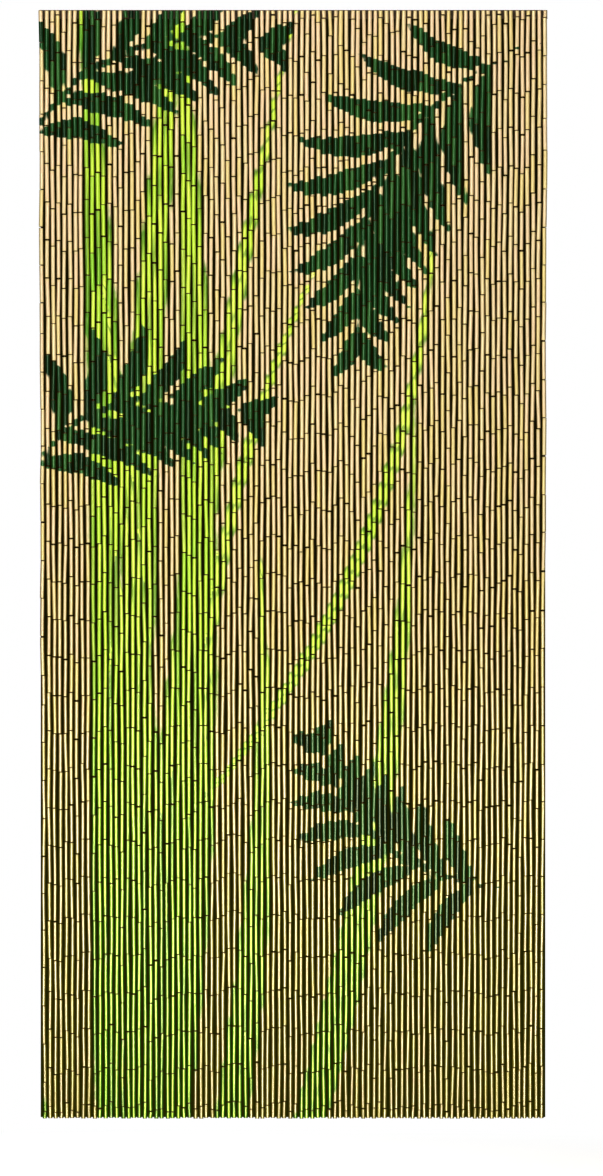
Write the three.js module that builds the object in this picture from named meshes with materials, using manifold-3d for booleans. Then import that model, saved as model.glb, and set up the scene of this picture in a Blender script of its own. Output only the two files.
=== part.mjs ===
// A door curtain of bamboo tubes threaded on cords, hanging flat in a doorway.
// Millimetres, +Z up, +X to the right seen from the front, and the front faces -Y.
// The origin is the middle of the heading band's top edge, where the curtain is fastened.
//
// The curtain is one solid: ninety strands that hang apart, with their top ends fused into
// the narrow band that they are tied to. Each strand is a square bar as wide as its tubes,
// with a slight bend at every third tube, as the real strands wander a little.

import * as THREE from "three";
import { mergeVertices } from "three/addons/utils/BufferGeometryUtils.js";
import Module from "manifold-3d";

const wasm = await Module();
wasm.setup();

// Driving dimensions.
const STRAND_COUNT = 90;
const TUBE_DIAMETER = 7.6;
const TOP_SPACING = 10.08; // from strand to strand at the heading band
const BOTTOM_SPACING = 9.93; // the free ends draw together a little
const DROP = 1971; // from the heading band's top edge to the strand ends
const TUBES_PER_STRAND = 29;
const TUBES_PER_BEND = 3;
const BAND_HEIGHT = 16;
const BAND_THICKNESS = 2;

// How uneven the strands are.
const WIDTH_CHANGE = 0.25; // the most that a strand is wider or thinner than TUBE_DIAMETER
const SIDE_SWAY = 1.08; // the most that a strand wanders to either side
const DEPTH_SWAY = 0.5; // the most that it wanders to the front or back
const LENGTH_CHANGE = 0.7; // the most that a strand ends above or below the others
const LONG_WAVE = 610; // lengths of the two waves that a strand wanders in
const SHORT_WAVE = 233;

// Where the pieces lie.
const TOP_GAP = 1; // the uppermost tubes start this far under the band's top edge
const ROOT_OVERLAP = 0.9; // how deep the strand tops reach into the band
const FRONT_PLANE = ROOT_OVERLAP - (BAND_THICKNESS + TUBE_DIAMETER) / 2; // y of the strands
const STILL_LENGTH = 120; // the strands hang still here, just under the band

// A repeatable number from -1 to 1 for each strand and kind of unevenness.
function uneven(strand, kind) {
  return Math.sin(1.7 * strand * strand + 0.9 * strand + 2.3 * kind);
}

// How far a strand wanders, from -1 to 1, at a depth below the band's top edge.
function wander(strand, depth, kind) {
  const phase = 1.7 * strand * strand + 0.9 * strand + 2.3 * kind;
  const long = Math.sin((2 * Math.PI * depth) / LONG_WAVE + phase);
  const short = Math.sin((2 * Math.PI * depth) / SHORT_WAVE + 1.9 * phase);
  return 0.6 * long + 0.4 * short;
}

// The middle of a strand at a depth below the band's top edge.
function strandMiddle(strand, depth) {
  const spacing = THREE.MathUtils.lerp(TOP_SPACING, BOTTOM_SPACING, depth / DROP);
  const free = Math.min(1, depth / STILL_LENGTH);
  const fromMiddle = strand - (STRAND_COUNT - 1) / 2;
  return new THREE.Vector2(
    fromMiddle * spacing + SIDE_SWAY * wander(strand, depth, 0),
    FRONT_PLANE + DEPTH_SWAY * free * wander(strand, depth, 1),
  );
}

// One strand: a long box whose cross-sections are moved onto the strand's own line.
function strandGeometry(strand) {
  const width = TUBE_DIAMETER + WIDTH_CHANGE * uneven(strand, 2);
  const length = DROP - TOP_GAP + LENGTH_CHANGE * uneven(strand, 3);
  const bends = Math.round(TUBES_PER_STRAND / TUBES_PER_BEND);
  const geometry = new THREE.BoxGeometry(width, width, length, 1, 1, bends);
  geometry.translate(0, 0, -TOP_GAP - length / 2);
  const corners = geometry.getAttribute("position");
  for (let i = 0; i < corners.count; i++) {
    const middle = strandMiddle(strand, -corners.getZ(i));
    corners.setX(i, corners.getX(i) + middle.x);
    corners.setY(i, corners.getY(i) + middle.y);
  }
  return geometry;
}

// The band that the strands are tied to, as long as the row of strands.
function bandGeometry() {
  const length = (STRAND_COUNT - 1) * TOP_SPACING + TUBE_DIAMETER;
  const geometry = new THREE.BoxGeometry(length, BAND_THICKNESS, BAND_HEIGHT);
  geometry.translate(0, 0, -BAND_HEIGHT / 2);
  return geometry;
}

// A closed geometry as a solid that can be joined to others.
function solidOf(geometry) {
  geometry.deleteAttribute("normal");
  geometry.deleteAttribute("uv");
  const merged = mergeVertices(geometry);
  return new wasm.Manifold(
    new wasm.Mesh({
      numProp: 3,
      vertProperties: merged.getAttribute("position").array,
      triVerts: new Uint32Array(merged.index.array),
    }),
  );
}

// A solid's faces as a geometry.
function geometryOf(solid) {
  const { vertProperties, triVerts } = solid.getMesh();
  const geometry = new THREE.BufferGeometry();
  geometry.setAttribute("position", new THREE.BufferAttribute(vertProperties, 3));
  geometry.setIndex(new THREE.BufferAttribute(triVerts, 1));
  geometry.computeVertexNormals();
  return geometry;
}

// The band and the strands, fused where the strand tops reach into the band.
function curtainGeometry() {
  let curtain = solidOf(bandGeometry());
  for (let strand = 0; strand < STRAND_COUNT; strand++) {
    curtain = curtain.add(solidOf(strandGeometry(strand)));
  }
  return geometryOf(curtain);
}

const bamboo = new THREE.MeshStandardMaterial({
  color: new THREE.Color(0.86, 0.7, 0.46),
  roughness: 0.45,
  metalness: 0,
});

const curtain = new THREE.Mesh(curtainGeometry(), bamboo);
curtain.name = "strand_curtain";

const part = new THREE.Group();
part.add(curtain);

export default part;
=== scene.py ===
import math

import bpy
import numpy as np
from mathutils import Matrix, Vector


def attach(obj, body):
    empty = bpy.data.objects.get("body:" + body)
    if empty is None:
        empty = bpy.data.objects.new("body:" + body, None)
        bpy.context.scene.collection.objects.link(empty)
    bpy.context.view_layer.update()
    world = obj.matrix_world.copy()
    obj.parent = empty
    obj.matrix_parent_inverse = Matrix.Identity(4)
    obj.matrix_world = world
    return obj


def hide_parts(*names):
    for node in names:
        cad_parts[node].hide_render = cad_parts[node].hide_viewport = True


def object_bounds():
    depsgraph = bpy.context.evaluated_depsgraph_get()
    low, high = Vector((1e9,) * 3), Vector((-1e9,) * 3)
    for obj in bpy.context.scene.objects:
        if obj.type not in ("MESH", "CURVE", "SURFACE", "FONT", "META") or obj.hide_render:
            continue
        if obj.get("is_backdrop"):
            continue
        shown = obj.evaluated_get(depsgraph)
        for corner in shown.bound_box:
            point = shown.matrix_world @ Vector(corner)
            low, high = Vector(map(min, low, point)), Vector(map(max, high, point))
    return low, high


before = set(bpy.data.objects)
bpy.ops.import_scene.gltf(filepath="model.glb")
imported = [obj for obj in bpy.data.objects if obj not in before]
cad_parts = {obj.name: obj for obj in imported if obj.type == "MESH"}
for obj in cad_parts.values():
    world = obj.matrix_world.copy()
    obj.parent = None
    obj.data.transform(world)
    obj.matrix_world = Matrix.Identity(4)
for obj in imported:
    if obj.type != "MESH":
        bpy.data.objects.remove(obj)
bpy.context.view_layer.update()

# The looks of a bamboo door curtain: ninety cords hung from a narrow cloth tape, each threaded
# with short bamboo tubes, whose fronts are painted with reeds and fern leaves.
# Metres, +Z up, +X to the right seen from the front, and the front faces -Y.

MM = 0.001

# The sizes of the curtain's solid, which the tubes follow.
STRAND_COUNT = 90
TUBE_DIAMETER = 7.6 * MM
TOP_SPACING = 10.08 * MM
BOTTOM_SPACING = 9.93 * MM
DROP = 1971 * MM
TOP_GAP = 1 * MM
BAND_HEIGHT = 16 * MM
FRONT_PLANE = -3.9 * MM
STILL_LENGTH = 120 * MM
WIDTH_CHANGE = 0.25 * MM
SIDE_SWAY = 1.08 * MM
DEPTH_SWAY = 0.5 * MM
LENGTH_CHANGE = 0.7 * MM
LONG_WAVE = 610 * MM
SHORT_WAVE = 233 * MM
LONG_SHARE = 0.6
SHORT_SHARE = 0.4
SHORT_START = 1.9  # the short wave's phase, as a multiple of the long one's
PHASE_STEPS = (1.7, 0.9, 2.3)  # by the strand's number squared, by its number, and by the kind

# The kinds of unevenness of a strand that have a phase of their own.
SIDEWAYS, DEPTHWAYS, THICKNESS, LENGTHWAYS = range(4)

# The tubes.
SEED = 11
TUBE_LENGTH = 66.5 * MM
TUBE_LENGTH_SPREAD = 1.1 * MM
SHORT_TUBE = (50 * MM, 60 * MM)
SHORT_TUBE_SHARE = 0.08
LAST_TUBE = (9 * MM, 30 * MM)
LEAST_TUBE = 8 * MM
TUBE_GAP = (0.4 * MM, 1.2 * MM)
WIDE_GAP = (1.4 * MM, 2.6 * MM)
WIDE_GAP_SHARE = 0.15
TUBE_WIDTHS = (0.93, 1.01)  # a tube's thickness, as a share of its strand's
WIDEST_TUBE = 8.0 * MM
BORE_RADIUS = 2.2 * MM
EDGE = 0.4 * MM  # the rounding of a tube's cut ends
KINK = 0.35 * MM  # how far a tube's end is usually out of its strand's line
BOW = 0.08 * MM
TAPER = 0.008
OVAL = 0.025
STRAND_SLIP = 2.3 * MM  # how far the paint is usually out of line from strand to strand
TUBE_SLIP = 0.5 * MM  # and from tube to tube
SIDES = 12
BODY_STEPS = 6
STRANDS_PER_PIECE = 15
SHARP_TUBE_ANGLE = 42  # degrees

# Cord and knots.
CORD_RADIUS = 0.6 * MM
CORD_SIDES = 6
KNOT_RADIUS = 1.7 * MM
KNOT_CORD_RADIUS = 0.54 * MM  # drawn tight
KNOT_RISE = 2.1 * MM  # how far above the strand's end the knot's middle is
KNOT_STEPS = 24
KNOT_TURN = 2.4  # from one strand's knot to the next, in radians

# Tape and stitches.
TAPE_LENGTH = (STRAND_COUNT - 1) * TOP_SPACING + TUBE_DIAMETER
TAPE_THICKNESS = 0.9 * MM
TAPE_STEPS = 6 * STRAND_COUNT
TAPE_EDGE = 0.3 * MM  # the rounding of its edges
TAPE_BULGE = 0.12 * MM
SHARP_TAPE_ANGLE = 60  # degrees
WEAVE_PITCH = 0.9 * MM
STITCH_LENGTH = 2.4 * MM
STITCH_PITCH = 3.2 * MM
STITCH_INSET = 3.5 * MM  # from the tape's edges to its two rows of stitches
ROW_SHIFT = 0.4  # of the lower row against the upper one, as a share of the pitch
STITCH_LIFT = 0.12 * MM
STITCH_SINK = 0.08 * MM
THREAD_RADIUS = 0.2 * MM
THREAD_SIDES = 4

# The camera, from the curtain's place in the 603 x 1176 photograph.
PIXEL = 900 * MM / 506
FRAME_HEIGHT = 1176 * PIXEL
FRAME_SHAPE = 603 / 1176
OFF_CENTRE = (8.5 * PIXEL, -24 * PIXEL)  # from the curtain's middle to the middle of the view
LENS = 250
SENSOR = 36
CLIP_END = 200  # past the far card
CONTRAST_GAMMA = 0.65  # the photograph is hard and contrasty

# Area lights, which either light the surfaces or only shine in their gloss.
SURFACES, GLOSS = "surfaces", "gloss"

# Name, place, aim, width and height, watts, colour, and what it lights.
LIGHTS = (
    ("key", (-0.4, -2.6, 0.75), (0, 0, -0.5), (3.4, 1.0), 75, (1, 0.92, 0.97), SURFACES),
    ("fill", (0.5, -7.0, -0.6), (0, 0, -0.9), (2.0, 2.4), 122, (1, 0.965, 1), SURFACES),
    ("low_fill", (0.1, -1.6, -1.85), (0, 0, -1.9), (1.4, 0.4), 16, (0.91, 0.99, 0.90), SURFACES),
    ("gloss", (0, -4.5, -1.8), (0, 0, -1.8), (5.6, 0.9), 260, (1, 0.98, 0.74), GLOSS),
    ("top_gloss", (-1.2, -4.5, -0.1), (0, 0, -0.1), (2.0, 1.6), 75, (0.8, 1, 0.85), GLOSS),
    ("back", (-1.6, 2.9, 0.4), (0, 0, -0.9), (2.2, 1.6), 165, (1, 1, 1), SURFACES),
)
PAGE_LIGHT = (0.055, 0.050, 0.014)

# The dark cards behind the curtain, which glow dimly as painted shade seen through its gaps, a
# little lighter lower down. The near one is for a camera that is a little above the curtain's
# middle, and that leaves a small margin round a ball round the whole curtain.
FAR_CARD = 100
NEAR_CARD = 2.35
LOW_CARD_COLOUR = (0.058, 0.060, 0.0)
HIGH_CARD_COLOUR = (0.024, 0.019, 0.0)
CARD_BLEND = 0.6  # the share of a card's height over which its colour changes
CARD_FADE = 0.025  # the share of the near card over which it fades out downwards
HIGH_CAMERA_TILT = 3  # degrees
HIGH_CAMERA_MARGIN = 1.03
CARD_INSET = 2 * MM  # how far inside the curtain's upper and lower edges the cards end
CURTAIN_MIDDLE = np.array([0, FRONT_PLANE, -DROP / 2])
HALF_CURTAIN = np.array([(TAPE_LENGTH - TUBE_DIAMETER) / 2, DROP / 2 - CARD_INSET])

# The floor.
FLOOR_DROP = 160 * MM  # the floor lies this far under the strand ends
FLOOR_RADIUS = 2.2
FLOOR_FADE = (0.4, 0.95 * FLOOR_RADIUS)  # between these radii it fades into the page
FLOOR_COLOURS = ((0.80, 0.79, 0.77), (0.86, 0.85, 0.83))
FLOOR_GLOW = (0.50, 0.50, 0.50)


# Strands

def phase(strand, kind):
    squared, single, by_kind = PHASE_STEPS
    return squared * strand**2 + single * strand + by_kind * kind


def uneven(strand, kind):
    """A repeatable number from -1 to 1 for each strand and kind of unevenness."""
    return np.sin(phase(strand, kind))


def wander(strand, depth, kind):
    """How far a strand wanders, from -1 to 1, at a depth below the band's top edge."""
    start = phase(strand, kind)
    long = np.sin(2 * math.pi * depth / LONG_WAVE + start)
    short = np.sin(2 * math.pi * depth / SHORT_WAVE + SHORT_START * start)
    return LONG_SHARE * long + SHORT_SHARE * short


def strand_middle(strand, depth):
    """The x and y of a strand's middle at a depth below the band's top edge."""
    spacing = TOP_SPACING + (BOTTOM_SPACING - TOP_SPACING) * depth / DROP
    free = np.minimum(1, depth / STILL_LENGTH)
    from_middle = strand - (STRAND_COUNT - 1) / 2
    x = from_middle * spacing + SIDE_SWAY * wander(strand, depth, SIDEWAYS)
    y = FRONT_PLANE + DEPTH_SWAY * free * wander(strand, depth, DEPTHWAYS)
    return x, y


def strand_end(strand):
    """The depth of a strand's lower end."""
    return DROP + LENGTH_CHANGE * uneven(strand, LENGTHWAYS)


def cut_strand(strand, rng):
    """The top and bottom depth of each of a strand's tubes, laid out from its lower end up."""
    spans = []
    bottom = strand_end(strand)
    length = rng.uniform(*LAST_TUBE)
    while bottom - length > TOP_GAP + LEAST_TUBE:
        top = bottom - length
        spans.append((top, bottom))
        wide = rng.random() < WIDE_GAP_SHARE
        bottom = top - rng.uniform(*(WIDE_GAP if wide else TUBE_GAP))
        short = rng.random() < SHORT_TUBE_SHARE
        length = rng.uniform(*SHORT_TUBE) if short else rng.normal(TUBE_LENGTH, TUBE_LENGTH_SPREAD)
    spans.append((TOP_GAP, bottom))
    return spans[::-1]


def kinks(strand, depth, rng):
    """How far a tube's end is out of its strand's line, across and in depth, within its room."""
    x = strand_middle(strand, depth)[0]
    left = x - strand_middle(strand - 1, depth)[0]
    right = strand_middle(strand + 1, depth)[0] - x
    room = np.maximum((np.minimum(left, right) - WIDEST_TUBE) / 2, 0)
    across = rng.normal(0, KINK, len(strand))
    back = rng.normal(0, KINK / 2, len(strand))
    return np.stack([np.clip(across, -room, room), np.clip(back, -KINK, KINK)], -1)


def cut_tubes():
    """All the tubes as a table of arrays, one row a tube."""
    rng = np.random.default_rng(SEED)
    strand, top, bottom = [], [], []
    for s in range(STRAND_COUNT):
        for a, b in cut_strand(s, rng):
            strand.append(s)
            top.append(a)
            bottom.append(b)
    count = len(strand)
    strand, top, bottom = np.array(strand), np.array(top), np.array(bottom)
    width = TUBE_DIAMETER + WIDTH_CHANGE * uneven(strand, THICKNESS)
    radius = width / 2 * rng.uniform(*TUBE_WIDTHS, count)
    taper = rng.normal(0, TAPER, count)
    slip = rng.normal(0, STRAND_SLIP, STRAND_COUNT)[strand] + rng.normal(0, TUBE_SLIP, count)
    return {
        "strand": strand,
        "top": top,
        "bottom": bottom,
        "top_radius": radius * (1 + taper),
        "bottom_radius": radius * (1 - taper),
        "top_kink": kinks(strand, top, rng),
        "bottom_kink": kinks(strand, bottom, rng),
        "bow": rng.normal(0, BOW, (count, 2)),
        "oval": rng.uniform(0, OVAL, count),
        "oval_turn": rng.uniform(0, math.pi, count),
        "seed": rng.random(count),
        "slip": slip,
    }


# Painted design: reed blades in lime green, behind fern fronds in dark green. Its places are
# millimetres to the right of the curtain's middle, and millimetres below its top edge.

# Foot across, tip across, tip depth, width, sideways bow, tone from -1, green, to 1, yellow.
BLADES = (
    (-235, 20, -60, 66, -85, 0.2),
    (-330, -400, -420, 84, 40, -0.3),
    (-120, 215, 640, 60, 85, 0.6),
    (-285, -150, -520, 80, -60, 0.1),
    (-400, -600, 560, 70, -90, -0.4),
    (-205, -60, 930, 58, 60, 0.8),
    (-255, -235, -380, 78, 75, -0.1),
    (-365, -500, 1120, 62, -60, 0.5),
    (-300, -345, 420, 72, 55, 0.35),
)
FOOT_DEPTH = 2420
BLADE_BELLY = 0.3

# Thin stalks: foot across, foot depth, tip across, tip depth, width, bow, tone.
STALKS = (
    (-250, 1500, 250, 330, 25, 130, 0.3),
    (-160, 1400, 60, 420, 23, -60, 0.5),
)

# Root across, root depth, tip across, tip depth, bow, length of a leaf, pairs of leaves.
FRONDS = (
    (-520, 330, -20, 60, -120, 205, 8),
    (500, 40, 120, 620, 150, 240, 10),
    (-520, 900, -60, 720, -110, 205, 8),
    (430, 1560, 40, 1290, -90, 185, 8),
)
OWN_SHARE = 0.2  # a tube takes the paint of its middle, nearly the same all across
SPINE_WIDTH = 12
OUTSIDE = -1000.0  # further out than any point is from the shape that is nearest to it
SIDE_LIMIT = 1.3  # places past a shape's sides are cut off here

# A frond's leaves. Places along its spine go from -1 at its root to 1 at its tip.
FIRST_LEAF = -0.62
LEAF_RANGE = 1.5
LEAST_FULLNESS = 0.55  # how long the least full leaves are, as a share of the fullest
FULLNESS_START = 1.5  # how many pairs before the first one the rise of fullness starts
TIP_SHORTENING = 0.35  # the share that is taken off again towards the tip
ROOT_SPREAD = 62  # degrees from a leaf to the spine, at the root
SPREAD_LOSS = 30  # and how much less that is at the tip
LEAF_WIDTH = 27
LEAF_WIDENING = 0.05  # added for each millimetre of length
LEAF_DROOP = 0.1
LEAF_CURL = 0.1
LEAF_BELLY = 0.1


def leaf_shape(across, depth, base, tip, width, bow, belly):
    """How far inside a leaf each point is, and its place between the leaf's sides, -1 to 1."""
    chord = np.subtract(tip, base)
    half = math.hypot(*chord) / 2
    ahead = chord / (2 * half)
    middle = np.add(base, tip) / 2
    along = ((across - middle[0]) * ahead[0] + (depth - middle[1]) * ahead[1]) / half
    beside = (depth - middle[1]) * ahead[0] - (across - middle[0]) * ahead[1]
    beside = beside - bow * (1 - along**2)
    pushed = half * (along + belly * (1 - np.clip(along, -1, 1) ** 2))
    reach = width / 2
    round_radius = (half**2 + reach**2) / (2 * reach)
    inside = round_radius - np.hypot(pushed, np.abs(beside) + round_radius - reach)
    half_width = np.sqrt(np.maximum(round_radius**2 - pushed**2, 0)) - round_radius + reach
    return inside, beside / np.maximum(half_width, 1)


def spine_point(root, tip, bow, along):
    """A point on a frond's bent spine, from -1 at its root to 1 at its tip, and the way ahead."""
    chord = np.subtract(tip, root)
    ahead = chord / math.hypot(*chord)
    normal = np.array([-ahead[1], ahead[0]])
    point = np.add(root, tip) / 2 + along * chord / 2 + bow * (1 - along**2) * normal
    tangent = chord / 2 - 2 * bow * along * normal
    return point, tangent / math.hypot(*tangent)


def turned(direction, degrees):
    """A direction turned from across towards down."""
    cosine, sine = math.cos(math.radians(degrees)), math.sin(math.radians(degrees))
    x, y = direction
    return np.array([cosine * x - sine * y, sine * x + cosine * y])


def frond_leaves(root, tip, bow, length, pairs):
    """Base, tip, width and bow of each leaf of a frond."""
    for i in range(pairs):
        share = i / pairs
        point, ahead = spine_point(root, tip, bow, FIRST_LEAF + LEAF_RANGE * i / (pairs - 1))
        rise = math.sin(math.pi * min(1, share + FULLNESS_START / pairs))
        fullness = LEAST_FULLNESS + (1 - LEAST_FULLNESS) * rise
        size = length * fullness * (1 - TIP_SHORTENING * share)
        droop = np.array([0, LEAF_DROOP * size])
        width = LEAF_WIDTH + LEAF_WIDENING * size
        for side in (-1, 1):
            away = turned(ahead, side * (ROOT_SPREAD - SPREAD_LOSS * share))
            yield point, point + size * away + droop, width, -LEAF_CURL * side * size


def blade_paint(across, depth):
    """For each point: how far inside the lime paint it is, its place on the blade, and its tone."""
    inside = np.full(across.shape, OUTSIDE)
    side = np.zeros(across.shape)
    tone = np.zeros(across.shape)
    shapes = [((foot, FOOT_DEPTH), (tip, tip_depth), width, bow, BLADE_BELLY, hue)
              for foot, tip, tip_depth, width, bow, hue in BLADES]
    shapes += [((foot, foot_depth), (tip, tip_depth), width, bow, 0, hue)
               for foot, foot_depth, tip, tip_depth, width, bow, hue in STALKS]
    for base, tip, width, bow, belly, hue in shapes:
        within, place = leaf_shape(across, depth, base, tip, width, bow, belly)
        upper = (within > 0) | (within > inside)
        inside = np.where(upper, within, inside)
        side = np.where(upper, np.clip(place, -SIDE_LIMIT, SIDE_LIMIT), side)
        tone = np.where(upper, hue, tone)
    return inside, side, tone


def frond_paint(across, depth):
    """For each point: how far inside the dark paint it is, and its place on the leaf."""
    inside = np.full(across.shape, OUTSIDE)
    side = np.zeros(across.shape)
    for root_x, root_depth, tip_x, tip_depth, bow, length, pairs in FRONDS:
        root, tip = (root_x, root_depth), (tip_x, tip_depth)
        shapes = [(*leaf, LEAF_BELLY) for leaf in frond_leaves(root, tip, bow, length, pairs)]
        shapes.append((root, tip, SPINE_WIDTH, bow, 0))
        for base, end, width, curl, belly in shapes:
            within, place = leaf_shape(across, depth, base, end, width, curl, belly)
            upper = within > inside
            inside = np.where(upper, within, inside)
            side = np.where(upper, np.clip(place, -SIDE_LIMIT, SIDE_LIMIT), side)
    return inside, side


# Meshes from arrays

def make_mesh(name, points, quads, material, sharp_angle=None):
    """A piece from arrays of points and four-cornered faces."""
    mesh = bpy.data.meshes.new(name)
    mesh.vertices.add(len(points))
    mesh.vertices.foreach_set("co", np.ascontiguousarray(points, np.float32).ravel())
    mesh.loops.add(quads.size)
    mesh.loops.foreach_set("vertex_index", np.ascontiguousarray(quads, np.int32).ravel())
    mesh.polygons.add(len(quads))
    mesh.polygons.foreach_set("loop_start", np.arange(0, quads.size, 4, dtype=np.int32))
    mesh.polygons.foreach_set("use_smooth", np.ones(len(quads), bool))
    mesh.update(calc_edges=True)
    if sharp_angle is not None:
        mesh.set_sharp_from_angle(angle=math.radians(sharp_angle))
    mesh.materials.append(material)
    piece = bpy.data.objects.new(name, mesh)
    bpy.context.scene.collection.objects.link(piece)
    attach(piece, "root")
    return piece


def store(piece, name, values):
    """A number for each point of a piece, which its material reads by name."""
    attribute = piece.data.attributes.new(name, "FLOAT", "POINT")
    attribute.data.foreach_set("value", np.ascontiguousarray(values, np.float32).ravel())


def ring_quads(rings, sides, closed):
    """The faces between rings of points that follow each other."""
    steps = rings if closed else rings - 1
    here = (np.arange(steps)[:, None] * sides) + np.arange(sides)[None, :]
    beside = (np.arange(steps)[:, None] * sides) + (np.arange(sides)[None, :] + 1) % sides
    below = (here + sides) % (rings * sides)
    below_beside = (beside + sides) % (rings * sides)
    return np.stack([here, below, below_beside, beside], -1).reshape(-1, 4)


def sweep(path, radius, sides, closed=False):
    """Points and faces of a round bar along a path. The sides are an even number."""
    path = np.asarray(path, float)
    if closed:
        ahead = np.roll(path, -1, 0) - np.roll(path, 1, 0)
    else:
        ahead = np.gradient(path, axis=0)
    ahead /= np.linalg.norm(ahead, axis=1, keepdims=True)
    across = np.zeros_like(path)
    guide = np.array([1.0, 0.0, 0.0])
    for i, direction in enumerate(ahead):
        guide = guide - direction * guide.dot(direction)
        guide /= np.linalg.norm(guide)
        across[i] = guide
    up = np.cross(ahead, across)
    angles = 2 * math.pi * np.arange(sides) / sides
    points = (path[:, None] + radius * (np.cos(angles)[None, :, None] * across[:, None]
                                        + np.sin(angles)[None, :, None] * up[:, None]))
    quads = ring_quads(len(path), sides, closed)[:, ::-1]
    if not closed:
        cap = np.array([(0, i, i + 1, i + 2) for i in range(1, sides - 2, 2)])
        last = (len(path) - 1) * sides
        quads = np.concatenate([quads, cap[:, ::-1], last + cap])
    return points.reshape(-1, 3), quads


def join(parts):
    """Points and faces of several parts as one."""
    points, quads, count = [], [], 0
    for part_points, part_quads in parts:
        points.append(part_points)
        quads.append(part_quads + count)
        count += len(part_points)
    return np.concatenate(points), np.concatenate(quads)


# Materials

class Nodes:
    """Short calls that build a material's nodes."""

    def __init__(self, name):
        self.material = bpy.data.materials.new(name)
        self.material.use_nodes = True
        self.tree = self.material.node_tree
        self.tree.nodes.clear()
        self.shader = self.add("ShaderNodeBsdfPrincipled")
        output = self.add("ShaderNodeOutputMaterial")
        self.tree.links.new(self.shader.outputs["BSDF"], output.inputs["Surface"])

    def add(self, kind, **settings):
        node = self.tree.nodes.new(kind)
        for setting, value in settings.items():
            setattr(node, setting, value)
        return node

    def feed(self, socket, value):
        if isinstance(value, bpy.types.NodeSocket):
            self.tree.links.new(value, socket)
        elif isinstance(value, tuple) and len(value) == 3 and socket.type == "RGBA":
            socket.default_value = (*value, 1)
        else:
            socket.default_value = value

    def math(self, operation, a, b=0.0, c=0.0):
        node = self.add("ShaderNodeMath", operation=operation)
        for socket, value in zip(node.inputs, (a, b, c)):
            self.feed(socket, value)
        return node.outputs["Value"]

    def scaled(self, value, factor, offset):
        """A value times a factor, plus an offset."""
        return self.math("MULTIPLY_ADD", value, factor, offset)

    def swing(self, noise, size):
        """A noise from 0 to 1 as a number around 0 that changes by size."""
        return self.scaled(noise, size, -size / 2)

    def step(self, value, start, end, low=0.0, high=1.0):
        """A smooth rise from low to high as value goes from start to end."""
        node = self.add("ShaderNodeMapRange", interpolation_type="SMOOTHSTEP")
        for socket, number in zip(node.inputs, (value, start, end, low, high)):
            self.feed(socket, number)
        return node.outputs["Result"]

    def mix(self, factor, a, b, blend="MIX"):
        node = self.add("ShaderNodeMix", data_type="RGBA", blend_type=blend)
        self.feed(node.inputs["Factor"], factor)
        colours = [s for s in node.inputs if s.type == "RGBA"]
        self.feed(colours[0], a)
        self.feed(colours[1], b)
        return next(s for s in node.outputs if s.type == "RGBA")

    def tint(self, colour, factors):
        """A colour times another one."""
        return self.mix(1.0, colour, factors, "MULTIPLY")

    def number(self, name):
        """What store() keeps under a name."""
        return self.add("ShaderNodeAttribute", attribute_name=name).outputs["Fac"]

    def places(self, stretch, shift=None):
        """The piece's own coordinates in metres, times stretch, moved on by shift."""
        vector = self.add("ShaderNodeTexCoord").outputs["Object"]
        node = self.add("ShaderNodeVectorMath", operation="MULTIPLY_ADD")
        self.feed(node.inputs[0], vector)
        self.feed(node.inputs[1], stretch)
        if shift is not None:
            self.feed(node.inputs[2], shift)
        return node.outputs["Vector"]

    def place(self, axis):
        """The piece's own coordinate along an axis, in metres."""
        split = self.add("ShaderNodeSeparateXYZ")
        self.feed(split.inputs[0], self.places((1, 1, 1)))
        return split.outputs[axis]

    def noise(self, vector, detail=2.0, roughness=0.5):
        node = self.add("ShaderNodeTexNoise", noise_dimensions="3D")
        self.feed(node.inputs["Vector"], vector)
        node.inputs["Scale"].default_value = 1.0
        node.inputs["Detail"].default_value = detail
        node.inputs["Roughness"].default_value = roughness
        return node.outputs["Fac"]

    def bump(self, height, depth, strength):
        node = self.add("ShaderNodeBump")
        node.inputs["Strength"].default_value = strength
        node.inputs["Distance"].default_value = depth
        self.feed(node.inputs["Height"], height)
        self.feed(self.shader.inputs["Normal"], node.outputs["Normal"])

    def set(self, **values):
        """Values of the shader's own sockets, with underscores for the spaces in their names."""
        for name, value in values.items():
            self.feed(self.shader.inputs[name.replace("_", " ")], value)


# Linear colours.
NATURAL = (0.42, 0.32, 0.17)
NATURAL_DARK = (0.27, 0.18, 0.08)
NATURAL_PALE = (0.54, 0.43, 0.26)
CREAM = (0.86, 0.76, 0.49)
PEACH = (0.88, 0.74, 0.505)
YELLOW_CREAM = (0.84, 0.73, 0.36)
FIBRE = (0.62, 0.45, 0.17)
CUT_BROWN = (0.14, 0.075, 0.022)
LIME = (0.67, 0.87, 0.115)
YELLOW_LIME = (0.80, 0.93, 0.20)
LEAF_LIME = (0.34, 0.66, 0.065)
BLADE_EDGE = (0.055, 0.25, 0.015)
DEEP_GREEN = (0.003, 0.044, 0.012)
LEAF_GREEN = (0.014, 0.112, 0.029)
WORN_GREEN = (0.075, 0.235, 0.058)
CORD_COLOURS = ((0.16, 0.085, 0.035), (0.34, 0.21, 0.10))
TAPE_COLOURS = ((0.050, 0.037, 0.024), (0.190, 0.145, 0.100))
THREAD_COLOURS = ((0.26, 0.20, 0.13), (0.42, 0.34, 0.24))
BLACK = (0, 0, 0)
WHITE = (1, 1, 1)

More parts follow.
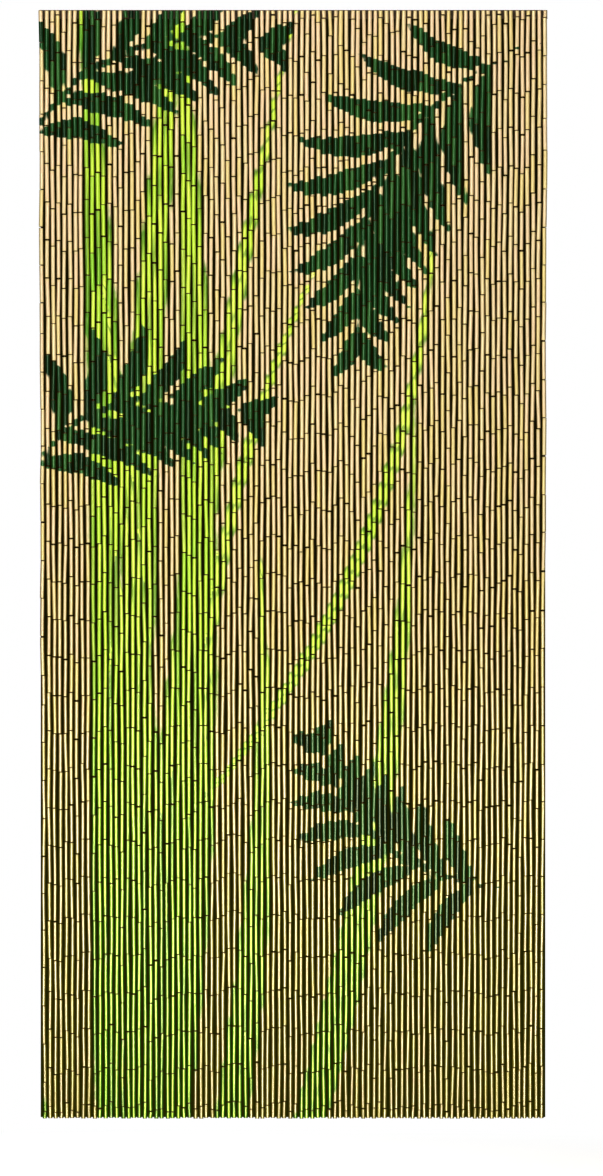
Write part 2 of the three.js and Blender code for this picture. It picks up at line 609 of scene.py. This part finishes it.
# Painted shade, what a colour is multiplied by at a tube's sides, low down and at the top: the
# natural bamboo's, the cream ground's and the green paints'. The dark green one gets lighter there,
# as painted light.
LOW_NATURAL_SIDE_SHADE = (0.52, 0.56, 0.10)
NATURAL_SIDE_SHADE = (0.92, 0.85, 0.38)
LOW_GROUND_SIDE_SHADE = (0.32, 0.33, 0.08)
GROUND_SIDE_SHADE = (0.36, 0.42, 0.20)
LOW_GREEN_SIDE_SHADE = (0.10, 0.30, 0.02)
LIME_SIDE_SHADE = (0.75, 0.86, 0.60)
LEAF_SIDE_LIGHT = (2.2, 1.8, 1.6)

# How far round from the front the cream ground reaches and the sides' painted shade begins, in right
# angles, at the top and at the bottom. Lower down it begins nearer the front, for a narrower lit
# band.
TOP_COVER = 0.71
BOTTOM_COVER = 0.20
COVER_CHANGE = 0.24  # how much that changes with the brush's streaks
GREEN_COVER = 1.12  # the green paints reach as far as this all the way down

# How fine the noises are across, through and along a tube, in changes a metre.
FIBRE_GRAIN = (900, 900, 26)
STREAK_GRAIN = (330, 330, 9)
MOTTLE_GRAIN = (120, 120, 45)
SPECK_GRAIN = (700, 700, 420)
CORD_GRAIN = (1500, 1500, 700)
FUZZ_GRAIN = (1800, 1800, 1800)
THREAD_GRAIN = (2600, 2600, 2600)
FLOOR_GRAIN = (9, 9, 9)

# What a tube's seed, from 0 to 1, is multiplied by for its place in the noises, tone and hue.
NOISE_SPREAD = (37.0, 61.0, 89.0)
TONE_SPREAD = 7.31
HUE_SPREAD = 13.7

# Where one look goes over into another, as step() takes it: from and to which value of a tone,
# a noise or a distance, and in some also how little and how much of the second look comes in.
# The natural bamboo's tones, mottles and fibres, and its painted shade round the sides, darker lower
# down:
PALE_TUBES = (0.2, 0.8)
DARK_MOTTLES = (0.4, 0.75, 0, 0.6)
DARK_FIBRES = (0.48, 0.75, 0, 0.7)
SIDE_SHADE_HEIGHT = (0.0, 0.6)
SIDE_SHADE_TURN = (1.3, 1.0)
# The ground's tones, fibres, specks and ends:
CREAM_TUBES = (0.2, 0.6)
YELLOW_TUBES = (0.68, 0.95, 0, 0.9)
GROUND_FIBRES = (0.5, 0.8, 0, 0.35)
GROUND_SPECKS = (0.70, 0.78, 0, 0.5)
YELLOW_ENDS = (7 * MM, 1 * MM, 0, 0.45)
# The lime paint's hues, edges and middle ribs:
YELLOW_HUES = (-0.1, 0.8)
LEAFY_HUES = (0.0, -0.9)
BLADE_EDGES = (0.62, 1.02)
BLADE_RIBS = (0.16, 0.04, 0, 0.5)
# The dark leaves' thinner paint and fibres:
LIT_LEAVES = (0.32, 0.62)
WORN_LEAVES = (0.66, 0.90, 0, 0.8)
LEAF_FIBRES = (0.52, 0.72, 0, 0.65)
# Past the paints' limits round the tube, where the painted shade of the sides comes in, and near its
# cut ends:
SIDE_SHADE_BLEND = (-0.05, 0.13)
BARE_SIDES = (-0.06, 0.14)
BARE_ENDS = (0.45 * MM, 0.1 * MM)
# Brown near the cut ends and in the bores, which is partly painted shade.
BROWN_ENDS_AND_BORES = (1.7 * MM, 0.7 * MM, 0, 0.8)
# The sprayed edges of the two greens, in millimetres:
BLADE_SPRAY = (-1.4, 1.4)
LEAF_SPRAY = (-0.7, 0.7)

# How much the noises and a tube's own hue change those places.
SPRAY_CHANGE = 4.0
BROWN_END_CHANGE = 1.4 * MM
RIB_CHANGE = 0.5
STREAK_HUE_CHANGE = 0.9
TUBE_HUE_CHANGE = 1.1
LOW_HUE_RISE = 0.6  # lower down, the lime paint is yellower
WEAR_SHARE = 0.6  # of a tube's own tone, and of the brush's streaks, in how worn a leaf is

# How strongly a blade's edges are painted at the bottom, and how much more at the top.
EDGE_PAINT = 0.67
EDGE_PAINT_RISE = 0.18

# The bamboo's gloss: how rough its fibres make it, how much smoother paint is, and its varnish.
BAMBOO_ROUGHNESS = 0.34
FIBRE_ROUGHNESS = 0.16
PAINT_ROUGHNESS = -0.08
VARNISH = 0.6
VARNISH_ROUGHNESS = 0.16
PAINT_THICKNESS = 0.5  # as a share of how deep the fibres' relief is

# The other surfaces' roughness.
CORD_ROUGHNESS = 0.85
TAPE_ROUGHNESS = 0.9
THREAD_ROUGHNESS = 0.6
FLOOR_ROUGHNESS = 0.7

# How deep a relief is, and how strongly it shows.
FIBRE_RELIEF = (0.05 * MM, 0.5)
CORD_RELIEF = (0.15 * MM, 0.8)
TAPE_RELIEF = (0.2 * MM, 0.7)
THREAD_RELIEF = (0.08 * MM, 0.6)

# How much the tape's fuzz changes the shade of its weave, and the least that it leaves of it.
FUZZ_CHANGE = 0.6
LEAST_FUZZ = 0.6


class PaintedBamboo(Nodes):
    """The painted bamboo's nodes. Its paints share a tube's own numbers and noises."""

    def __init__(self):
        super().__init__("painted_bamboo")
        seed = self.number("seed")
        self.turn = self.number("turn")
        self.end = self.number("end_distance")
        self.tone = self.math("FRACT", self.math("MULTIPLY", seed, TONE_SPREAD))
        self.hue = self.math("FRACT", self.math("MULTIPLY", seed, HUE_SPREAD))
        own = self.add("ShaderNodeCombineXYZ")
        for axis, spread in zip("XYZ", NOISE_SPREAD):
            self.feed(own.inputs[axis], self.math("MULTIPLY", seed, spread))
        own = own.outputs["Vector"]
        self.fibre = self.noise(self.places(FIBRE_GRAIN, own), detail=4.0, roughness=0.6)
        self.streak = self.noise(self.places(STREAK_GRAIN, own), detail=3.0)
        self.mottle = self.noise(self.places(MOTTLE_GRAIN, own))
        self.speck = self.noise(self.places(SPECK_GRAIN, own), detail=1.0)
        self.height = self.step(self.place("Z"), -DROP, 0.0)

    def natural(self):
        """Natural bamboo on the sides and the back, with fibres along it, and painted shade on its
        sides, darker and more olive lower down.
        """
        colour = self.mix(self.step(self.tone, *PALE_TUBES), NATURAL, NATURAL_PALE)
        colour = self.mix(self.step(self.mottle, *DARK_MOTTLES), colour, NATURAL_DARK)
        colour = self.mix(self.step(self.fibre, *DARK_FIBRES), colour, NATURAL_DARK)
        # Painted shade on the sides of the front half, darker and more olive lower down.
        side = self.mix(self.step(self.height, *SIDE_SHADE_HEIGHT), LOW_NATURAL_SIDE_SHADE, NATURAL_SIDE_SHADE)
        return self.mix(self.step(self.turn, *SIDE_SHADE_TURN), colour, self.tint(colour, side))

    def ground(self):
        """The cream ground, in a tone of its own on each tube."""
        colour = self.mix(self.step(self.tone, *CREAM_TUBES), PEACH, CREAM)
        colour = self.mix(self.step(self.tone, *YELLOW_TUBES), colour, YELLOW_CREAM)
        colour = self.mix(self.step(self.fibre, *GROUND_FIBRES), colour, FIBRE)
        colour = self.mix(self.step(self.speck, *GROUND_SPECKS), colour, FIBRE)
        return self.mix(self.step(self.end, *YELLOW_ENDS), colour, YELLOW_CREAM)

    def blade(self):
        """Lime blades: dark along their edges and middle rib, with the brush's streaks."""
        hue = self.math("ADD", self.number("blade_tone"), self.swing(self.streak, STREAK_HUE_CHANGE))
        hue = self.math("ADD", hue, self.swing(self.hue, TUBE_HUE_CHANGE))
        hue = self.scaled(self.math("SUBTRACT", 1.0, self.height), LOW_HUE_RISE, hue)
        colour = self.mix(self.step(hue, *YELLOW_HUES), LIME, YELLOW_LIME)
        colour = self.mix(self.step(hue, *LEAFY_HUES), colour, LEAF_LIME)
        off_middle = self.math("ABSOLUTE", self.number("blade_side"))
        off_middle = self.math("ADD", off_middle, self.swing(self.streak, RIB_CHANGE))
        strength = self.scaled(self.height, EDGE_PAINT_RISE, EDGE_PAINT)
        edge = self.math("MULTIPLY", self.step(off_middle, *BLADE_EDGES), strength)
        colour = self.mix(edge, colour, BLADE_EDGE)
        return self.mix(self.step(off_middle, *BLADE_RIBS), colour, BLADE_EDGE)

    def leaf(self):
        """Dark leaves, where the brush left some tubes thinner covered."""
        worn = self.math("MULTIPLY", self.streak, WEAR_SHARE)
        worn = self.scaled(self.tone, WEAR_SHARE, worn)
        colour = self.mix(self.step(worn, *LIT_LEAVES), DEEP_GREEN, LEAF_GREEN)
        colour = self.mix(self.step(worn, *WORN_LEAVES), colour, WORN_GREEN)
        return self.mix(self.step(self.fibre, *LEAF_FIBRES), colour, WORN_GREEN)

    def covers(self):
        """Where the lime blades and the dark leaves lie. Their edges differ from tube to tube."""
        ragged = self.swing(self.mottle, SPRAY_CHANGE)
        blade = self.math("ADD", self.number("blade"), ragged)
        leaf = self.math("ADD", self.number("frond"), ragged)
        return self.step(blade, *BLADE_SPRAY), self.step(leaf, *LEAF_SPRAY)


def bamboo_material():
    """Natural bamboo tubes, painted cream on the front and green where the design says, with painted
    shade on their sides.
    """
    n = PaintedBamboo()
    blade_cover, leaf_cover = n.covers()
    green = n.math("MAXIMUM", blade_cover, leaf_cover)
    paint = n.mix(blade_cover, n.ground(), n.blade())
    paint = n.mix(leaf_cover, paint, n.leaf())

    # Round the sides the paint is darkened by painted shade, more so lower down, and the dark green
    # is lightened by painted light. Then it ends, the cream ground sooner than the greens.
    limit = n.scaled(n.height, TOP_COVER - BOTTOM_COVER, BOTTOM_COVER)
    limit = n.math("ADD", limit, n.swing(n.streak, COVER_CHANGE))
    ground_side_shade = n.mix(n.height, LOW_GROUND_SIDE_SHADE, GROUND_SIDE_SHADE)
    green_side_shade = n.mix(n.height, LOW_GREEN_SIDE_SHADE, n.mix(leaf_cover, LIME_SIDE_SHADE, LEAF_SIDE_LIGHT))
    side = n.mix(green, ground_side_shade, green_side_shade)
    past_limit = n.math("SUBTRACT", n.turn, limit)
    side_shaded = n.mix(n.step(past_limit, *SIDE_SHADE_BLEND), paint, n.tint(paint, side))
    reach = n.scaled(green, n.math("SUBTRACT", GREEN_COVER, limit), limit)
    bare = n.step(n.math("SUBTRACT", n.turn, reach), *BARE_SIDES)
    bare = n.math("MAXIMUM", bare, n.step(n.end, *BARE_ENDS))
    colour = n.mix(bare, side_shaded, n.natural())

    # Cut ends, the bores and the bamboo next to the ends are brown: the cut ends' own colour, and
    # painted shade in the bores and beside the gaps between tubes.
    end_brown = n.scaled(n.mottle, BROWN_END_CHANGE, n.end)
    colour = n.mix(n.step(end_brown, *BROWN_ENDS_AND_BORES), colour, CUT_BROWN)

    painted = n.math("SUBTRACT", 1.0, bare)
    rough = n.scaled(n.fibre, FIBRE_ROUGHNESS, BAMBOO_ROUGHNESS)
    rough = n.scaled(painted, PAINT_ROUGHNESS, rough)
    n.set(Base_Color=colour, Roughness=rough,
          Coat_Weight=VARNISH, Coat_Roughness=VARNISH_ROUGHNESS)
    n.bump(n.scaled(painted, PAINT_THICKNESS, n.fibre), *FIBRE_RELIEF)
    return n.material


def cord_material():
    """Brown twisted cord."""
    n = Nodes("twisted_cord")
    ply = n.noise(n.places(CORD_GRAIN))
    n.set(Base_Color=n.mix(ply, *CORD_COLOURS), Roughness=CORD_ROUGHNESS)
    n.bump(ply, *CORD_RELIEF)
    return n.material


def tape_material():
    """Dark woven tape, with the threads of a plain weave."""
    n = Nodes("heading_tape")
    turn = 2 * math.pi / WEAVE_PITCH
    warp = n.math("SINE", n.math("MULTIPLY", n.place("X"), turn))
    weft = n.math("SINE", n.math("MULTIPLY", n.place("Z"), turn))
    weave = n.scaled(n.math("MULTIPLY", warp, weft), 0.5, 0.5)  # from 0 to 1
    fuzz = n.noise(n.places(FUZZ_GRAIN), detail=3.0)
    shade = n.math("MULTIPLY", weave, n.scaled(fuzz, FUZZ_CHANGE, LEAST_FUZZ))
    n.set(Base_Color=n.mix(shade, *TAPE_COLOURS), Roughness=TAPE_ROUGHNESS)
    n.bump(weave, *TAPE_RELIEF)
    return n.material


def thread_material():
    """Sewing thread, a little lighter than the tape."""
    n = Nodes("sewing_thread")
    ply = n.noise(n.places(THREAD_GRAIN))
    n.set(Base_Color=n.mix(ply, *THREAD_COLOURS), Roughness=THREAD_ROUGHNESS)
    n.bump(ply, *THREAD_RELIEF)
    return n.material


def card_material(name, fade):
    """Dark, glowing dimly as painted shade for the curtain's gaps, a little lighter lower down, and
    faded out over a share of its lowest part.
    """
    n = Nodes(name)
    split = n.add("ShaderNodeSeparateXYZ")
    n.feed(split.inputs[0], n.add("ShaderNodeTexCoord").outputs["Generated"])
    up = split.outputs["Z"]
    shade = n.mix(n.step(up, 0.0, CARD_BLEND), LOW_CARD_COLOUR, HIGH_CARD_COLOUR)
    n.set(Base_Color=BLACK, Specular_IOR_Level=0.0, Emission_Color=shade, Emission_Strength=1.0)
    if fade:
        n.set(Alpha=n.step(up, 0.0, fade))
    return n.material


def floor_material():
    """Pale, and faded into the white page further out."""
    n = Nodes("pale_floor")
    x, y = n.place("X"), n.place("Y")
    squares = n.scaled(x, x, n.math("MULTIPLY", y, y))
    fade = n.step(n.math("SQRT", squares), *FLOOR_FADE)
    pale = n.mix(n.noise(n.places(FLOOR_GRAIN), detail=4.0), *FLOOR_COLOURS)
    n.set(Base_Color=n.mix(fade, pale, BLACK),
          Roughness=FLOOR_ROUGHNESS, Specular_IOR_Level=0.0,
          Emission_Color=n.mix(fade, FLOOR_GLOW, WHITE), Emission_Strength=1.0)
    return n.material


# Pieces

# One tube's closed profile, from its bore at the top end round its outside to its bore at the
# lower end: share of the length, distance past that, and how far inside the outer radius.
# None stands for the bore's own radius.
PROFILE = (
    (0, 0, None),
    (0, 0, EDGE),
    (0, EDGE, 0),
    *((step / BODY_STEPS, 0, 0) for step in range(1, BODY_STEPS)),
    (1, -EDGE, 0),
    (1, 0, EDGE),
    (1, 0, None),
)


def tube_points(tubes):
    """Points, and the numbers that go with them, as arrays of tubes by rings by sides."""
    share = np.array([row[0] for row in PROFILE], float)
    past = np.array([row[1] for row in PROFILE], float)
    in_bore = np.array([row[2] is None for row in PROFILE])
    inset = np.array([row[2] or 0 for row in PROFILE], float)
    length = (tubes["bottom"] - tubes["top"])[:, None]
    along = share * length + past
    part = along / length
    depth = tubes["top"][:, None] + along
    top_middle = np.stack(strand_middle(tubes["strand"], tubes["top"]), -1) + tubes["top_kink"]
    low_middle = np.stack(strand_middle(tubes["strand"], tubes["bottom"]), -1) + tubes["bottom_kink"]
    middle = (top_middle[:, None] * (1 - part)[..., None] + low_middle[:, None] * part[..., None]
              + tubes["bow"][:, None] * (4 * part * (1 - part))[..., None])
    outer = tubes["top_radius"][:, None] * (1 - part) + tubes["bottom_radius"][:, None] * part
    radius = np.where(in_bore, BORE_RADIUS, outer - inset)
    angle = math.pi / 2 + 2 * math.pi * np.arange(SIDES) / SIDES  # from the back, all round
    oval = 1 + tubes["oval"][:, None] * np.cos(2 * (angle - tubes["oval_turn"][:, None]))
    radius = radius[:, :, None] * oval[:, None, :]
    points = np.stack([
        middle[:, :, None, 0] + radius * np.cos(angle),
        middle[:, :, None, 1] + radius * np.sin(angle),
        np.broadcast_to(-depth[:, :, None], radius.shape),
    ], -1)
    turn = np.abs(2 - np.arange(SIDES) * 4 / SIDES)
    turn = np.where(in_bore[None, :, None], 2, turn[None, None, :])
    end_distance = np.where(in_bore, 0, np.minimum(along, length - along))
    return points, {
        "seed": np.broadcast_to(tubes["seed"][:, None, None], radius.shape),
        "turn": np.broadcast_to(turn, radius.shape),
        "end_distance": np.broadcast_to(end_distance[:, :, None], radius.shape),
    }


def tube_uv(count):
    """Bake coordinates for each face corner: every tube unrolls into its own upright cell."""
    rings = len(PROFILE)
    slimness = 3  # a cell is about this many times as tall as it is wide
    columns = round(math.sqrt(count * slimness))
    rows = math.ceil(count / columns)
    # Where each ring lies up the cell. The bore's wall, from the last ring to the first, is short.
    heights = np.array([0, 0.02, 0.03, *np.linspace(0.03, 0.91, BODY_STEPS + 1)[1:], 0.92, 0.94, 1])
    margin = 0.04
    corner_ring = np.array([0, 1, 1, 0])
    corner_side = np.array([0, 0, 1, 1])
    ring = np.arange(rings)[:, None, None]
    side = np.arange(SIDES)[None, :, None]
    v = np.broadcast_to(heights[ring + corner_ring], (rings, SIDES, 4))
    u = np.broadcast_to((side + corner_side) / SIDES, (rings, SIDES, 4))
    cell = np.arange(count)
    left = (cell % columns)[:, None, None, None]
    low = (cell // columns)[:, None, None, None]
    u = (left + margin + (1 - 2 * margin) * u) / columns
    v = (low + margin / slimness + (1 - 2 * margin / slimness) * (1 - v)) / rows
    return np.stack([u, v], -1).reshape(-1, 2)


def make_tubes(name, tubes, material):
    """One piece of many tubes, with what its paint needs stored at each point."""
    points, numbers = tube_points(tubes)
    count = len(points)
    per_tube = points.shape[1] * SIDES
    one = ring_quads(len(PROFILE), SIDES, closed=True)
    quads = (np.arange(count)[:, None, None] * per_tube + one[None]).reshape(-1, 4)
    piece = make_mesh(name, points.reshape(-1, 3), quads, material,
                      sharp_angle=SHARP_TUBE_ANGLE)
    layer = piece.data.uv_layers.new(name="OFBake")
    layer.uv.foreach_set("vector", np.ascontiguousarray(tube_uv(count), np.float32).ravel())
    middle = points[..., 0].mean(-1, keepdims=True)
    across = (middle + OWN_SHARE * (points[..., 0] - middle)) / MM
    depth = (-points[..., 2] + tubes["slip"][:, None, None]) / MM
    blade, blade_side, blade_tone = blade_paint(across, depth)
    frond, frond_side = frond_paint(across, depth)
    numbers.update(blade=blade, blade_side=blade_side, blade_tone=blade_tone,
                   frond=frond, frond_side=frond_side)
    for key, values in numbers.items():
        store(piece, key, values)
    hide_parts("strand_curtain")


def strand_cord(strand, tubes):
    """A strand's cord: over the top tube's rim into the tape, and down through every bore."""
    own = tubes["strand"] == strand
    depths = np.sort(np.concatenate([tubes["top"][own], tubes["bottom"][own]]))
    down = np.stack([*strand_middle(strand, depths), -depths], -1)
    top_x, top_y = strand_middle(strand, 0)
    rim = [  # y and z: in the tape, out of it, and over the rim into the bore
        (0.5 * MM, -3.2 * MM),
        (0.1 * MM, -1.1 * MM),
        (-1.0 * MM, -0.35 * MM),
        (top_y + 1.0 * MM, -0.3 * MM),
        (top_y + 0.15 * MM, -0.75 * MM),
    ]
    over = np.array([(top_x, y, z) for y, z in rim])
    down[-1, 2] += KNOT_RISE
    return sweep(np.concatenate([over, down[1:]]), CORD_RADIUS, CORD_SIDES)


def knot(strand):
    """An overhand knot jammed in the mouth of the lowest tube."""
    t = 2 * math.pi * np.arange(KNOT_STEPS) / KNOT_STEPS
    trefoil = (np.sin(t) + 2 * np.sin(2 * t), -np.sin(3 * t), np.cos(t) - 2 * np.cos(2 * t))
    trefoil_radius = 3
    x, y, z = KNOT_RADIUS / trefoil_radius * np.array(trefoil)
    cosine, sine = math.cos(KNOT_TURN * strand), math.sin(KNOT_TURN * strand)
    depth = strand_end(strand)
    middle_x, middle_y = strand_middle(strand, depth)
    path = np.stack([
        middle_x + cosine * x - sine * y,
        middle_y + sine * x + cosine * y,
        z - depth + KNOT_RISE,
    ], -1)
    return sweep(path, KNOT_CORD_RADIUS, CORD_SIDES, closed=True)


def make_cords(tubes, material):
    """One piece of all the cords and their knots."""
    parts = [strand_cord(s, tubes) for s in range(STRAND_COUNT)]
    parts += [knot(s) for s in range(STRAND_COUNT)]
    piece = make_mesh("cords", *join(parts), material)
    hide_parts("strand_curtain")


def tape_wave(x):
    """How far the tape bulges to the back between the strands."""
    return TAPE_BULGE * (1 + np.cos(2 * math.pi * x / TOP_SPACING))


def make_tape(material):
    """The heading tape, a closed sheet that bulges a little between the strands."""
    x = np.linspace(-TAPE_LENGTH / 2, TAPE_LENGTH / 2, TAPE_STEPS + 1)
    upper, middle, lower = -TAPE_EDGE, -BAND_HEIGHT / 2, -BAND_HEIGHT + TAPE_EDGE
    section = [  # y and z, all round
        (0, upper), (0, middle), (0, lower),
        (TAPE_THICKNESS / 2, -BAND_HEIGHT),
        (TAPE_THICKNESS, lower), (TAPE_THICKNESS, middle), (TAPE_THICKNESS, upper),
        (TAPE_THICKNESS / 2, 0),
    ]
    sides = len(section)
    y = np.array([p[0] for p in section])[None, :] + tape_wave(x)[:, None]
    z = np.broadcast_to(np.array([p[1] for p in section]), y.shape)
    points = np.stack([np.broadcast_to(x[:, None], y.shape), y, z], -1).reshape(-1, 3)
    quads = ring_quads(len(x), sides, closed=False)
    cap = np.array([(0, 1, 6, 7), (1, 2, 5, 6), (2, 3, 4, 5)])
    quads = np.concatenate([quads, cap, len(points) - sides + cap[:, ::-1]])
    piece = make_mesh("heading_tape", points, quads, material, sharp_angle=SHARP_TAPE_ANGLE)
    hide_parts("strand_curtain")
    return piece


def make_stitches(material):
    """Two rows of running stitches, on the tape's front and back."""
    parts = []
    count = int(TAPE_LENGTH / STITCH_PITCH) - 1
    along = np.array([-0.5, -0.25, 0.25, 0.5]) * STITCH_LENGTH
    lift = np.array([-STITCH_SINK, STITCH_LIFT, STITCH_LIFT, -STITCH_SINK])
    for row, z in enumerate((-STITCH_INSET, -BAND_HEIGHT + STITCH_INSET)):
        for i in range(count):
            x = (i - (count - 1) / 2 + row * ROW_SHIFT) * STITCH_PITCH + along
            for face, way in ((0, -1), (TAPE_THICKNESS, 1)):
                path = np.stack([x, face + tape_wave(x) + way * lift, np.full(len(x), z)], -1)
                parts.append(sweep(path, THREAD_RADIUS, THREAD_SIDES))
    piece = make_mesh("tape_stitches", *join(parts), material)
    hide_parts("strand_curtain")
    return piece


def make_curtain():
    """All the curtain's pieces."""
    tubes = cut_tubes()
    bamboo = bamboo_material()
    for first in range(0, STRAND_COUNT, STRANDS_PER_PIECE):
        own = (tubes["strand"] >= first) & (tubes["strand"] < first + STRANDS_PER_PIECE)
        some = {key: values[own] for key, values in tubes.items()}
        make_tubes(f"bamboo_tubes_{first // STRANDS_PER_PIECE + 1}", some, bamboo)
    make_cords(tubes, cord_material())
    tape = make_tape(tape_material())
    stitches = make_stitches(thread_material())


# Camera, light and background

def make_camera():
    """The photograph's camera, square to the curtain."""
    distance = FRAME_HEIGHT * LENS / SENSOR
    data = bpy.data.cameras.new("camera")
    data.lens = LENS
    data.sensor_width = SENSOR
    data.clip_end = CLIP_END
    camera = bpy.data.objects.new("camera", data)
    camera.location = (OFF_CENTRE[0], FRONT_PLANE - distance, -DROP / 2 + OFF_CENTRE[1])
    camera.rotation_euler = (math.pi / 2, 0, 0)
    bpy.context.scene.collection.objects.link(camera)
    bpy.context.scene.camera = camera
    return camera


def make_light(name, place, aim, size, watts, colour, lit):
    """An area light that isn't seen itself."""
    data = bpy.data.lights.new(name, "AREA")
    data.shape = "RECTANGLE"
    data.size, data.size_y = size
    data.energy = watts
    data.color = colour
    light = bpy.data.objects.new(name, data)
    light.location = place
    x, y, z = np.subtract(aim, place)
    light.rotation_euler = (math.atan2(math.hypot(x, y), -z), 0, math.atan2(-x, y))
    light.visible_camera = False
    light.visible_diffuse = lit == SURFACES
    light.visible_glossy = lit == GLOSS
    bpy.context.scene.collection.objects.link(light)


def make_world():
    """A white page behind everything, which lights the curtain only a little."""
    world = bpy.data.worlds.new("page")
    world.use_nodes = True
    tree = world.node_tree
    tree.nodes.clear()
    path = tree.nodes.new("ShaderNodeLightPath")
    seen = tree.nodes.new("ShaderNodeBackground")
    seen.inputs["Color"].default_value = (*WHITE, 1)
    dim = tree.nodes.new("ShaderNodeBackground")
    dim.inputs["Color"].default_value = (*PAGE_LIGHT, 1)
    mix = tree.nodes.new("ShaderNodeMixShader")
    output = tree.nodes.new("ShaderNodeOutputWorld")
    tree.links.new(path.outputs["Is Camera Ray"], mix.inputs["Fac"])
    tree.links.new(dim.outputs["Background"], mix.inputs[1])
    tree.links.new(seen.outputs["Background"], mix.inputs[2])
    tree.links.new(mix.outputs["Shader"], output.inputs["Surface"])
    bpy.context.scene.world = world


def stage_plane(name, corners, material):
    """A flat piece of the stage, which isn't part of the object."""
    mesh = bpy.data.meshes.new(name)
    mesh.from_pydata(corners, [], [(0, 1, 2, 3)])
    mesh.materials.append(material)
    plane = bpy.data.objects.new(name, mesh)
    bpy.context.scene.collection.objects.link(plane)
    plane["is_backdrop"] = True
    return plane


def behind_curtain(eye, y):
    """What the curtain hides of the plane at y from an eye in front: lowest and highest x and z."""
    scale = (y - eye[1]) / (FRONT_PLANE - eye[1])
    middle = eye[[0, 2]] + (CURTAIN_MIDDLE[[0, 2]] - eye[[0, 2]]) * scale
    return middle - HALF_CURTAIN * scale, middle + HALF_CURTAIN * scale


def make_card(name, y, low, high, fade=0):
    """An upright card at y, from its lowest to its highest x and z."""
    (left, foot), (right, top) = low, high
    corners = [(left, y, foot), (right, y, foot), (right, y, top), (left, y, top)]
    stage_plane(name, corners, card_material(name, fade))


def high_camera_place():
    """Where a camera is that takes in the whole curtain from further away and a little above."""
    low, high = np.array(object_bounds())
    slope = SENSOR / 2 / LENS * FRAME_SHAPE
    distance = HIGH_CAMERA_MARGIN * np.linalg.norm(high - low) / 2 * math.hypot(1, slope) / slope
    tilt = math.radians(HIGH_CAMERA_TILT)
    return (low + high) / 2 + distance * np.array([0, -math.cos(tilt), math.sin(tilt)])


def make_cards(camera):
    """Dark cards behind the curtain, hidden by it but for its gaps: a far one for the camera, and
    a near one for a camera a little above, cut down to what the first one doesn't see of it."""
    eye = np.array(camera.location)
    make_card("far_card", FAR_CARD, *behind_curtain(eye, FAR_CARD))
    low, high = behind_curtain(high_camera_place(), NEAR_CARD)
    hidden_low, hidden_high = behind_curtain(eye, NEAR_CARD)
    low, high = np.maximum(low, hidden_low), np.minimum(high, hidden_high)
    make_card("near_card", NEAR_CARD, low, high, CARD_FADE)


def make_floor():
    """A pale floor under the curtain, which fades into the page further out."""
    reach, z = FLOOR_RADIUS, -DROP - FLOOR_DROP
    corners = [(-reach, -reach, z), (reach, -reach, z), (reach, reach, z), (-reach, reach, z)]
    floor = stage_plane("pale_floor", corners, floor_material())
    floor.visible_diffuse = False
    floor.visible_glossy = False


make_curtain()
camera = make_camera()
make_world()
make_cards(camera)
make_floor()
for light in LIGHTS:
    make_light(*light)
bpy.context.scene.view_settings.view_transform = "Standard"
bpy.context.scene.view_settings.gamma = CONTRAST_GAMMA
